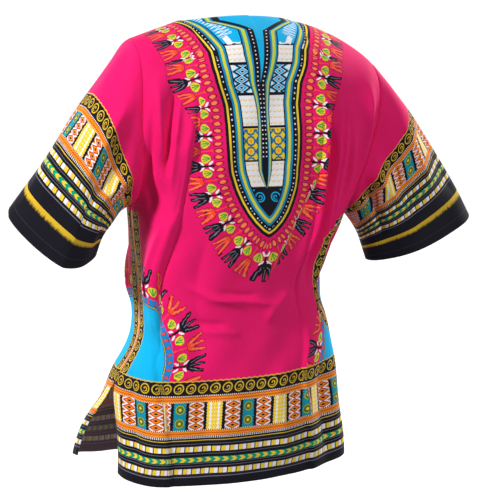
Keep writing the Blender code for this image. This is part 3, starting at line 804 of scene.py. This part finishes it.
def cloth_piece(name, index, outer, inner, outward, places):
    """Make one piece of cloth as a closed thin wall between an outer and an inner grid."""
    count = len(outer)
    faces = grid_faces(index)
    if outward < 0:
        faces = faces[:, ::-1]
    edges = {(face[k], face[(k + 1) % 4]) for face in faces.tolist() for k in range(4)}
    rim = [(b, a, a + count, b + count) for a, b in edges if (b, a) not in edges]
    walls = faces.tolist() + (faces[:, ::-1] + count).tolist() + rim
    mesh = bpy.data.meshes.new(name)
    mesh.from_pydata(np.concatenate((outer, inner)).tolist(), [], walls)
    mesh.validate()
    mesh.update()
    mesh.polygons.foreach_set("use_smooth", [True] * len(mesh.polygons))
    for label, value in places.items():
        layer = mesh.attributes.new(label, "FLOAT", "POINT")
        layer.data.foreach_set("value", np.concatenate((value.ravel(), value.ravel())).astype(np.float32))
    layer = mesh.attributes.new("reverse", "FLOAT", "POINT")
    layer.data.foreach_set("value", np.repeat((0.0, 1.0), count).astype(np.float32))
    piece = bpy.data.objects.new(name, mesh)
    bpy.context.scene.collection.objects.link(piece)
    return piece


class Value:
    """A number in a material's node tree, worked on with the ordinary signs."""

    def __init__(self, tree, socket):
        self.tree = tree
        self.socket = socket

    def math(self, operation, *others):
        """Add one sum to the tree."""
        node = self.tree.nodes.new("ShaderNodeMath")
        node.operation = operation
        for slot, value in zip(node.inputs, (self,) + others):
            if isinstance(value, Value):
                self.tree.links.new(value.socket, slot)
            else:
                slot.default_value = value
        return Value(self.tree, node.outputs[0])

    def __add__(self, other):
        return self.math("ADD", other)

    def __sub__(self, other):
        return self.math("SUBTRACT", other)

    def __mul__(self, other):
        return self.math("MULTIPLY", other)

    def __truediv__(self, other):
        return self.math("DIVIDE", other)

    def __or__(self, other):
        return self.math("MAXIMUM", other)

    def __abs__(self):
        return self.math("ABSOLUTE")

    def minus_from(self, other):
        """Return other less this value."""
        return self.math("MULTIPLY_ADD", -1.0, other)

    def under(self, limit):
        """Return 1 where this is less than the limit."""
        return self.math("LESS_THAN", limit)

    def over(self, limit):
        """Return 1 where this is more than the limit."""
        return self.math("GREATER_THAN", limit)

    def near(self, middle, reach):
        """Return 1 within reach of the middle."""
        return self.math("COMPARE", middle, reach)

    def wave(self, reach):
        """Go up to reach and down to 0 again, over and over."""
        return self.math("PINGPONG", reach)

    def part(self, period):
        """Return how far through its period a repeat is, from 0 to 1."""
        return self.math("DIVIDE", period).math("FRACT")

    def span(self, start, end, first=0.0, last=1.0):
        """Go from first to last as this goes from start to end, and stay there."""
        node = self.tree.nodes.new("ShaderNodeMapRange")
        self.tree.links.new(self.socket, node.inputs["Value"])
        for label, value in zip(("From Min", "From Max", "To Min", "To Max"), (start, end, first, last)):
            node.inputs[label].default_value = value
        return Value(self.tree, node.outputs["Result"])


def size_of(x, y, wide, high):
    """Return the square of a place's distance from a spot, 1 on an oval that wide and high."""
    x, y = x / wide, y / high
    return x.math("MULTIPLY_ADD", x, y * y)


class Dye:
    """The printed colours of one cloth, laid one over another."""

    def __init__(self, tree, ground):
        self.tree = tree
        self.colour = ground

    def read(self, name):
        """Return one of the cloth's own values."""
        node = self.tree.nodes.new("ShaderNodeAttribute")
        node.attribute_name = name
        return Value(self.tree, node.outputs["Fac"])

    def noise(self, scale, detail=2.0):
        """Return soft noise over the object."""
        place = self.tree.nodes.new("ShaderNodeTexCoord")
        node = self.tree.nodes.new("ShaderNodeTexNoise")
        node.inputs["Scale"].default_value = scale
        node.inputs["Detail"].default_value = detail
        self.tree.links.new(place.outputs["Object"], node.inputs["Vector"])
        return Value(self.tree, node.outputs["Fac"])

    def bands(self, value, end, stops, between="CONSTANT"):
        """Return the colours of a set of bands, each from its own place on and all before the end."""
        start = stops[0][0]
        share = value.math("MULTIPLY_ADD", 1 / (end - start), -start / (end - start))
        node = self.tree.nodes.new("ShaderNodeValToRGB")
        ramp = node.color_ramp
        ramp.interpolation = between
        for number, (place, colour) in enumerate(stops):
            at = (place - start) / (end - start)
            stop = ramp.elements[number] if number < 2 else ramp.elements.new(at)
            stop.position = at
            stop.color = colour
        self.tree.links.new(share.socket, node.inputs["Fac"])
        return node.outputs["Color"]

    def profile(self, value, points):
        """Return a number that follows a row of points, straight from one to the next."""
        stops = [(place, (amount, amount, amount, 1)) for place, amount in points]
        return Value(self.tree, self.bands(value, points[-1][0], stops, "LINEAR"))

    def lay(self, colour, mask):
        """Lay a colour over what is there, where the mask is 1."""
        self.colour = self.mixed(self.colour, colour, mask)

    def mixed(self, first, second, mask):
        """Return the first colour with the second over it."""
        node = self.tree.nodes.new("ShaderNodeMix")
        node.data_type = "RGBA"
        self.tree.links.new(mask.socket, node.inputs[0])
        for slot, colour in ((node.inputs[6], first), (node.inputs[7], second)):
            if isinstance(colour, tuple):
                slot.default_value = colour
            else:
                self.tree.links.new(colour, slot)
        return node.outputs[2]


def scroll(along, out):
    """Return 1 on a row of ringed scrolls."""
    x = along.math("WRAP", 10.2, -10.2)
    r = (x * x + out * out).math("SQRT")
    turn = out.math("ARCTAN2", x)
    curl = turn.math("MULTIPLY_ADD", -0.159, r / 5.2).math("FRACT")
    return (curl.under(0.36) * r.under(4.9)) | r.near(7.5, 1.0)


def scalloped(edge, along):
    """Return an edge's distance made wavy along it."""
    return edge - along.wave(5.1) * 0.3


def print_hem(dye, along, up):
    """Print the striped border, measured up from its edge."""
    dye.lay(dye.bands(up, 180, HEM_STRIPES), up.under(BORDER_TOP))
    low_dashes, high_dashes = (up.near(row, 4.2) for row in DASH_ROWS)
    dye.lay(dye.bands(along.part(15.0), 1, DASHES), low_dashes | high_dashes)
    arrow = (along - abs(up - ARROW_ROW) * 1.3).part(14.3).under(0.46)
    dye.lay(YELLOW, arrow * up.near(ARROW_ROW, 3.6))
    low_zigzag, high_zigzag = (abs(up - row) for row in ZIGZAG_ROWS)
    rows = low_zigzag.math("MINIMUM", high_zigzag)
    edge = rows.near(5.3, 0.8) | up.near(79.6, 0.8)
    dye.lay(WHITE, edge * along.wave(1.7).under(0.9))
    zigzag = (up + along.wave(2.2)).part(4.6).under(0.36)
    dye.lay(dye.mixed(ORANGE, RUST, zigzag), rows.under(4.5))
    print_patches(dye, along, up)
    dye.lay(GOLD, scroll(along, up - SCROLL_ROW) * up.near(SCROLL_ROW, 10.0))
    dye.lay(GOLD, scalloped(up, along).near(BORDER_TOP, 0.95))


def print_patches(dye, along, up):
    """Print the border's row of square patches."""
    across = along.wave(PATCH_HALF_REPEAT)
    patch = Dye(dye.tree, None)
    v = (up - 92.7).wave(5.69)
    lozenge = abs(across - 27.75) / 12.25 + v.math("MULTIPLY_ADD", -0.1757, 1.0)
    patch.colour = patch.bands(lozenge, 2, LOZENGE)
    ring = size_of(across, (up - 104.1).wave(11.4), 10.0, 10.0)
    patch.lay(patch.bands(ring, 2, RING), across.under(10.2))
    weave = (abs(abs(across - 52.0) - 3.9) - up.wave(3.2) * 0.7).under(1.3)
    patch.lay(patch.mixed(WHITE, YELLOW, weave), across.over(45.4))
    ripple = up.wave(2.4) * 0.5
    bar = (across + ripple).near(13.2, 2.6) | (across - ripple).near(43.0, 2.6)
    patch.lay(BLACK, bar)
    dye.lay(patch.colour, up.near(PATCH_ROW, 22.6))


def print_flowers(dye, run, off, leaf_at, tulip_at, reach, period):
    """Print leaves, petals and tulips standing out from an edge."""
    half = period / 2
    stem = run.wave(half)
    dark = (run + half).part(period * 2).under(0.5)
    x, y = stem.minus_from(half), off - leaf_at
    leaf = size_of(x / y.math("MULTIPLY_ADD", 0.03, 1.0), y, 7.8, 8.4)
    dye.lay(dye.bands(leaf, 2, LEAF_BANDS), leaf.under(1.0))
    spread = (y + 8.0) * 0.34
    veins = x.math("MINIMUM", abs(x - spread))
    dye.lay(LEAF, veins.under(0.75) * leaf.under(0.62))
    px, py = stem - half * 0.40, abs(y) - 7.6
    petal = size_of(px * 0.80 - py * 0.60, px * 0.60 + py * 0.80, 1.8, 4.8)
    dye.lay(WHITE, petal.under(1.0) * dark)
    flower = dye.mixed(CORAL, BLACK, dark)
    middle = leaf_at + (tulip_at - leaf_at) / 2 - 3
    dye.lay(flower, (stem - dark * 0.7).under(0.9) * off.near(middle, (tulip_at - leaf_at) / 2 + 9))
    dye.lay(flower, size_of(stem, off - leaf_at + 11.0, 2.3, 2.3).under(1.0))
    t = (off - tulip_at) / reach
    cup = t.math("MAXIMUM", 0.0).math("SQRT") * half
    side_tine = abs(stem - cup * 0.70) / t.math("MULTIPLY_ADD", -2.0, 3.5)
    middle_tine = stem / t.math("MULTIPLY_ADD", -1.4, 2.5)
    tines = side_tine.math("MINIMUM", middle_tine)
    tulip = tines.under(1.0) | (stem - cup * 0.74).under(0.0) * t.under(0.34)
    dye.lay(dye.mixed(WINE, BLACK, dark), tines.under(1.35) * t.near(0.5, 0.53))
    dye.lay(flower, tulip * t.near(0.5, 0.5))
    dye.lay(dye.mixed(SALMON, GREY, dark), tines.under(0.24) * t.near(0.56, 0.38))


def print_corner(dye, run, off):
    """Print the turquoise corner with its edge of drops and flowers."""
    print_flowers(dye, run, off, leaf_at=14.0, tulip_at=24.0, reach=28.0, period=29.0)
    dye.lay(dye.bands(off, 0, CORNER_EDGE), off.under(0.6))
    drop = size_of(run.wave(7.0), off + 5.4, 2.6, 4.6)
    dye.lay(dye.mixed(CORAL, BLACK, drop.over(0.62)), drop.under(1.0))


def print_fringe(dye, run, off):
    """Print the drops and flowers outside the yoke."""
    print_flowers(dye, run, off, leaf_at=34.5, tulip_at=44.0, reach=29.0, period=24.0)
    drop = size_of(run.wave(5.4), off - 13.5, 4.1, 8.2)
    dye.lay(dye.bands(drop, 2, YOKE_DROP), drop.under(1.0))


def print_yoke_fields(yoke, x, rise, run, off):
    """Print the fields of the yoke, one above another, with their small figures."""
    yoke.colour = yoke.bands(rise, 100, YOKE_FIELDS)
    shine = (rise + x.wave(4.2) * 0.7).part(9.5).under(0.26) * x.wave(4.2).over(0.9)
    pale = rise.near(-245, 21) | rise.near(-142.5, 24) | rise.near(-47.5, 15)
    yoke.lay(PEACH, shine * pale)
    cross = abs(x - 33.0) / 11.0 + rise.wave(6.5) / 6.5
    yoke.lay(yoke.bands(cross, 2, LATTICE), rise.near(-89.5, 22.5))
    tile = size_of((x - 24.0).wave(8.4), (rise + 1.0).wave(8.6), 8.4, 8.6)
    tile = tile + (x - 24.0).wave(2.1) * 0.05
    yoke.lay(yoke.bands(tile, 2, MOSAIC), rise.near(-196.2, 25.2))
    slant = off.math("MULTIPLY_ADD", 0.04, 2.36) - (run + 1.0).wave(3.6) / 3.6
    yoke.lay(WHITE, slant.near(0.0, 0.20) * rise.over(-29) * off.near(-45.5, 12))
    yoke.lay(TURQUOISE, (rise + x * 1.1).over(-247) * rise.under(-270))
    curl = scroll(x - 13.6, rise + 283.0)
    yoke.lay(TURQUOISE, curl * rise.near(-283, 10) * x.near(13.6, 9.4))


def print_yoke_edges(yoke, x, rise, run, off):
    """Print the bands beside the yoke's inner field and round its outline."""
    narrow = yoke.profile(rise, YOKE_NARROW)
    gap = yoke.profile(rise, YOKE_GAP) * 100
    beside = (x - gap) / narrow
    yoke.lay(yoke.bands(beside, 30, FIELD_EDGE), beside.under(27) * rise.over(-268))
    yoke.lay(TURQUOISE, beside.under(0.0))
    dot = size_of(x - gap - narrow * 6.0, rise.wave(3.6), 1.2, 1.2)
    yoke.lay(WHITE, dot.under(1.0) * rise.near(-110, 112))
    yoke.lay(BLUE, rise.near(-24, 0.5) * beside.under(0))
    yoke.lay(yoke.bands(off, 0, YOKE_BORDER), off.over(-31.0))
    twist = abs(off + 23.0) + run.wave(1.7) * 1.2
    yoke.lay(YELLOW, twist.under(1.9))
    speck = size_of(run.wave(4.4), off + 12.6, 1.25, 1.25)
    yoke.lay(WHITE, speck.under(1.0))


def print_yoke(dye, across, rise, run, off):
    """Print the pointed yoke round the neck."""
    print_fringe(dye, run, off)
    yoke = Dye(dye.tree, None)
    x = abs(across)
    print_yoke_fields(yoke, x, rise, run, off)
    print_yoke_edges(yoke, x, rise, run, off)
    dye.lay(yoke.colour, off.under(0.0))


def print_side(dye, side, up):
    """Print the narrow border beside a side seam."""
    dye.lay(dye.mixed(BLACK, GOLD, scalloped(side, up).near(27.9, 0.95)), side.under(29.6))
    dye.lay(GOLD, scroll(up, side - 16.6) * side.under(27.0))
    dye.lay(dye.mixed(ORANGE, WHITE, up.wave(1.8).under(0.9) * side.near(4.4, 1.0)), side.under(5.2))


def finish_cotton(dye, shader, along, up, height):
    """Give the printed cotton its weave, its slight unevenness, its sheen and a paler reverse."""
    tree = dye.tree
    cloud = dye.noise(CLOUD_SCALE, 3.0)
    dye.colour = toned(dye, cloud.span(0.3, 0.7, 0.90, 1.05))
    thread = (along * WEAVE).math("SINE") * (up * WEAVE).math("SINE")
    slub = dye.noise(SLUB_SCALE, 1.0)
    dye.colour = toned(dye, slub.math("MULTIPLY_ADD", 0.16, 0.92) + thread * 0.02)
    dye.lay(REVERSE, dye.read("reverse") * REVERSE_SHARE)
    tree.links.new(dye.colour, shader.inputs["Base Color"])
    rough = cloud.math("MULTIPLY_ADD", 0.10, 0.78)
    tree.links.new(rough.socket, shader.inputs["Roughness"])
    relief = thread * 0.10 + slub * 0.35 + height
    bump = tree.nodes.new("ShaderNodeBump")
    bump.inputs["Strength"].default_value = RELIEF_STRENGTH
    bump.inputs["Distance"].default_value = RELIEF_HEIGHT
    tree.links.new(relief.socket, bump.inputs["Height"])
    tree.links.new(bump.outputs["Normal"], shader.inputs["Normal"])
    shader.inputs["Sheen Weight"].default_value = SHEEN
    shader.inputs["Sheen Roughness"].default_value = SHEEN_ROUGHNESS
    shader.inputs["Specular IOR Level"].default_value = SHINE


def toned(dye, amount):
    """Return the cloth's colour made lighter or darker by an amount about 1."""
    node = dye.tree.nodes.new("ShaderNodeVectorMath")
    node.operation = "SCALE"
    dye.tree.links.new(dye.colour, node.inputs[0])
    dye.tree.links.new(amount.socket, node.inputs["Scale"])
    return node.outputs[0]


def stitching(dye, along, off):
    """Sew a line of small stitches a little way in from an edge, and return their relief."""
    stitch = off.near(0.0, 0.42) * along.wave(1.5).under(1.05)
    dye.lay(THREAD, stitch)
    return stitch


def sew_hem(dye, up, relief):
    """Lay dark grey over the bottom edge of a turned hem, and return the relief of its stitches and its fold.
    """
    dye.lay(HEM_EDGE_GREY, up.under(0.8) * 0.6)
    return relief * 0.6 + up.under(HEM_FOLD) * 0.5


def new_cotton(name):
    """Start a cotton material and return it with its dye and shader."""
    material = bpy.data.materials.new(name)
    material.use_nodes = True
    tree = material.node_tree
    return material, Dye(tree, PINK), tree.nodes["Principled BSDF"]


def panel_cotton():
    """Make the printed cotton of the back and the front."""
    material, dye, shader = new_cotton("printed_panel_cotton")
    across, up, side, rise = (dye.read(name) for name in ("across", "up", "side", "rise"))
    print_corner(dye, dye.read("corner_run"), dye.read("corner_off"))
    print_yoke(dye, across, rise, dye.read("yoke_run"), dye.read("yoke_off"))
    print_side(dye, side, up)
    print_hem(dye, across, up)
    hem = stitching(dye, across, up - STITCH_LINE)
    vent = stitching(dye, up, side - SIDE_STITCH_LINE) * up.under(SIDE_STITCH_TOP)
    finish_cotton(dye, shader, across, up, sew_hem(dye, up, hem | vent))
    return material


def sleeve_cotton():
    """Make the printed cotton of the sleeves."""
    material, dye, shader = new_cotton("printed_sleeve_cotton")
    across, up = dye.read("across"), dye.read("up")
    print_hem(dye, across, up - SLEEVE_BORDER)
    brush = dye.tree.nodes.new("ShaderNodeTexNoise")
    brush.inputs["Scale"].default_value = 1.0
    place = dye.tree.nodes.new("ShaderNodeCombineXYZ")
    dye.tree.links.new((across * 0.9).socket, place.inputs[0])
    dye.tree.links.new((up * 0.05).socket, place.inputs[1])
    dye.tree.links.new(place.outputs[0], brush.inputs["Vector"])
    thicker = up.span(BRUSH_START, BRUSH_FULL, -0.45, 0.62)
    fray = Value(dye.tree, brush.outputs["Fac"]).math("MULTIPLY_ADD", 0.9, thicker)
    dye.lay(GOLD, fray.span(0.42, 0.72) * up.under(BRUSH_TOP))
    hem = stitching(dye, across, up - STITCH_LINE)
    finish_cotton(dye, shader, across, up, sew_hem(dye, up, hem))
    return material


def panel_columns(face):
    """Return the places of a panel's columns. The front has two in the middle, beside its slit."""
    left, right = neck_column("left"), neck_column("right")
    columns = np.concatenate((
        [-1],
        np.linspace(EDGE_COLUMN - 1, right, COLUMNS_OUT + 1)[:-1],
        np.linspace(right, 0, COLUMNS_IN + 1)[:-1],
        np.linspace(0, left, COLUMNS_IN + 1)[:-1],
        np.linspace(left, 1 - EDGE_COLUMN, COLUMNS_OUT + 1),
        [1],
    ))
    if face == "front":
        middle = middle_of(columns)
        columns = np.insert(columns, middle, -1e-9)
        columns[middle + 1] = 1e-9
    return columns


def open_slit(points, columns, parting):
    """Part the front's two middle columns along the slit below the neck."""
    spread = np.exp(-((points[..., 0] - points[:, [middle_of(columns)], 0]) / SLIT_SPREAD) ** 2)
    points[..., 0] += np.sign(columns)[None, :] * parting[:, None] * spread
    return points


def sew_shirt():
    """Build the four pieces of cloth on the frame."""
    rows = np.concatenate((
        np.linspace(0, VENT_ROW, SKIRT_ROWS)[:-1],
        np.linspace(VENT_ROW, 1, BODY_ROWS)[:-1],
        1 + np.linspace(0, 1, YOKE_ROWS) ** 1.25,
    ))
    yoke = rows[rows >= 1]
    around = np.concatenate((yoke - 2, (2 - yoke)[::-1][1:]))
    down = np.linspace(0, 1, SLEEVE_ROWS)
    shaped, grids = {}, {}
    for face, sign in (("back", -1), ("front", 1)):
        shaped[face + "_panel"] = shaped_panel(face, panel_columns(face), rows)
        grids[face + "_panel"] = (shaped[face + "_panel"][0], sign)
    for side, sign in (("left", -1), ("right", 1)):
        shaped["sleeve_" + side] = shaped_sleeve(side, around, down)
        grids["sleeve_" + side] = (shaped["sleeve_" + side][0], sign)
    normals = seam_normals(grids)
    cottons = {"panel": panel_cotton(), "sleeve": sleeve_cotton()}
    for name, (points, sign) in grids.items():
        _, dip, places = shaped[name]
        outer = points - normals[name] * (dip * SEAM_DIP)[..., None]
        inner = outer - normals[name] * CLOTH
        index = np.arange(dip.size).reshape(dip.shape)
        if name == "front_panel":
            columns = panel_columns("front")
            parting = slit_parting(points, columns)
            outer, inner = open_slit(outer, columns, parting), open_slit(inner, columns, parting)
            middle = middle_of(columns)
            right = middle if columns[middle] > 0 else middle + 1
            whole = parting < 1e-7
            index[whole, right] = index[whole, right - 1]
        piece = cloth_piece(name + "_cloth", index, outer.reshape(-1, 3), inner.reshape(-1, 3), sign, places)
        kind = "panel" if name.endswith("panel") else "sleeve"
        piece.data.materials.append(cottons[kind])
        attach(piece, "root")
        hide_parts(name)
        kind + "_cotton"
        kind == "panel"


def plain_paint(name, grey, roughness, glow):
    """Make a plain paint that also gives off some white light."""
    material = bpy.data.materials.new(name)
    material.use_nodes = True
    shader = material.node_tree.nodes["Principled BSDF"]
    shader.inputs["Base Color"].default_value = (grey, grey, grey, 1)
    shader.inputs["Roughness"].default_value = roughness
    shader.inputs["Emission Color"].default_value = (1.0, 1.0, 1.0, 1)
    shader.inputs["Emission Strength"].default_value = glow
    return material


def paint_studio(name, paint):
    """Name and paint the floor or the room just made, and keep its glow off the shirt."""
    piece = bpy.context.active_object
    piece.name = name
    piece.data.materials.append(paint)
    piece.visible_diffuse = False
    return piece


def soft_light(name, place, power, size, colour):
    """Add one large soft lamp that faces the shirt."""
    light = bpy.data.lights.new(name, "AREA")
    light.shape = "DISK"
    light.size = size
    light.energy = power
    light.color = colour
    lamp = bpy.data.objects.new(name, light)
    lamp.location = place
    lamp.rotation_euler = (CAMERA_TARGET - Vector(place)).to_track_quat("-Z", "Y").to_euler()
    bpy.context.scene.collection.objects.link(lamp)


def light_studio():
    """Set the floor, the white room, the lamps and the pale light all round."""
    bpy.ops.object.select_all(action="DESELECT")
    bpy.ops.mesh.primitive_plane_add(size=FLOOR_SIZE, location=(0, 0, FLOOR_HEIGHT))
    floor = paint_studio("studio_floor", plain_paint("pale_floor", 0.30, 0.9, 0.86))
    bpy.ops.object.select_all(action="DESELECT")
    bpy.ops.mesh.primitive_uv_sphere_add(segments=48, ring_count=24, radius=ROOM_RADIUS)
    room = paint_studio("studio_room", plain_paint("white_room", 0.0, 0.5, 1.0))
    for lamp in LAMPS:
        soft_light(*lamp)
    world = bpy.data.worlds.new("pale_room")
    world.use_nodes = True
    sky = world.node_tree.nodes["Background"]
    sky.inputs["Color"].default_value = (1.0, 1.0, 1.0, 1)
    sky.inputs["Strength"].default_value = AMBIENT
    bpy.context.scene.world = world
    bpy.context.scene.view_settings.view_transform = "Standard"


def set_camera():
    """Set the camera where the photograph was taken from."""
    lens = bpy.data.cameras.new("view")
    lens.lens = CAMERA_LENS
    lens.sensor_width = 36
    lens.sensor_fit = "HORIZONTAL"
    camera = bpy.data.objects.new("view", lens)
    flat = math.cos(CAMERA_RISE)
    way = (math.sin(CAMERA_AZIMUTH) * flat, -math.cos(CAMERA_AZIMUTH) * flat, math.sin(CAMERA_RISE))
    camera.location = CAMERA_TARGET + Vector(way) * CAMERA_DISTANCE
    camera.rotation_euler = (-Vector(way)).to_track_quat("-Z", "Y").to_euler()
    bpy.context.scene.collection.objects.link(camera)
    bpy.context.scene.camera = camera


sew_shirt()
light_studio()
set_camera()
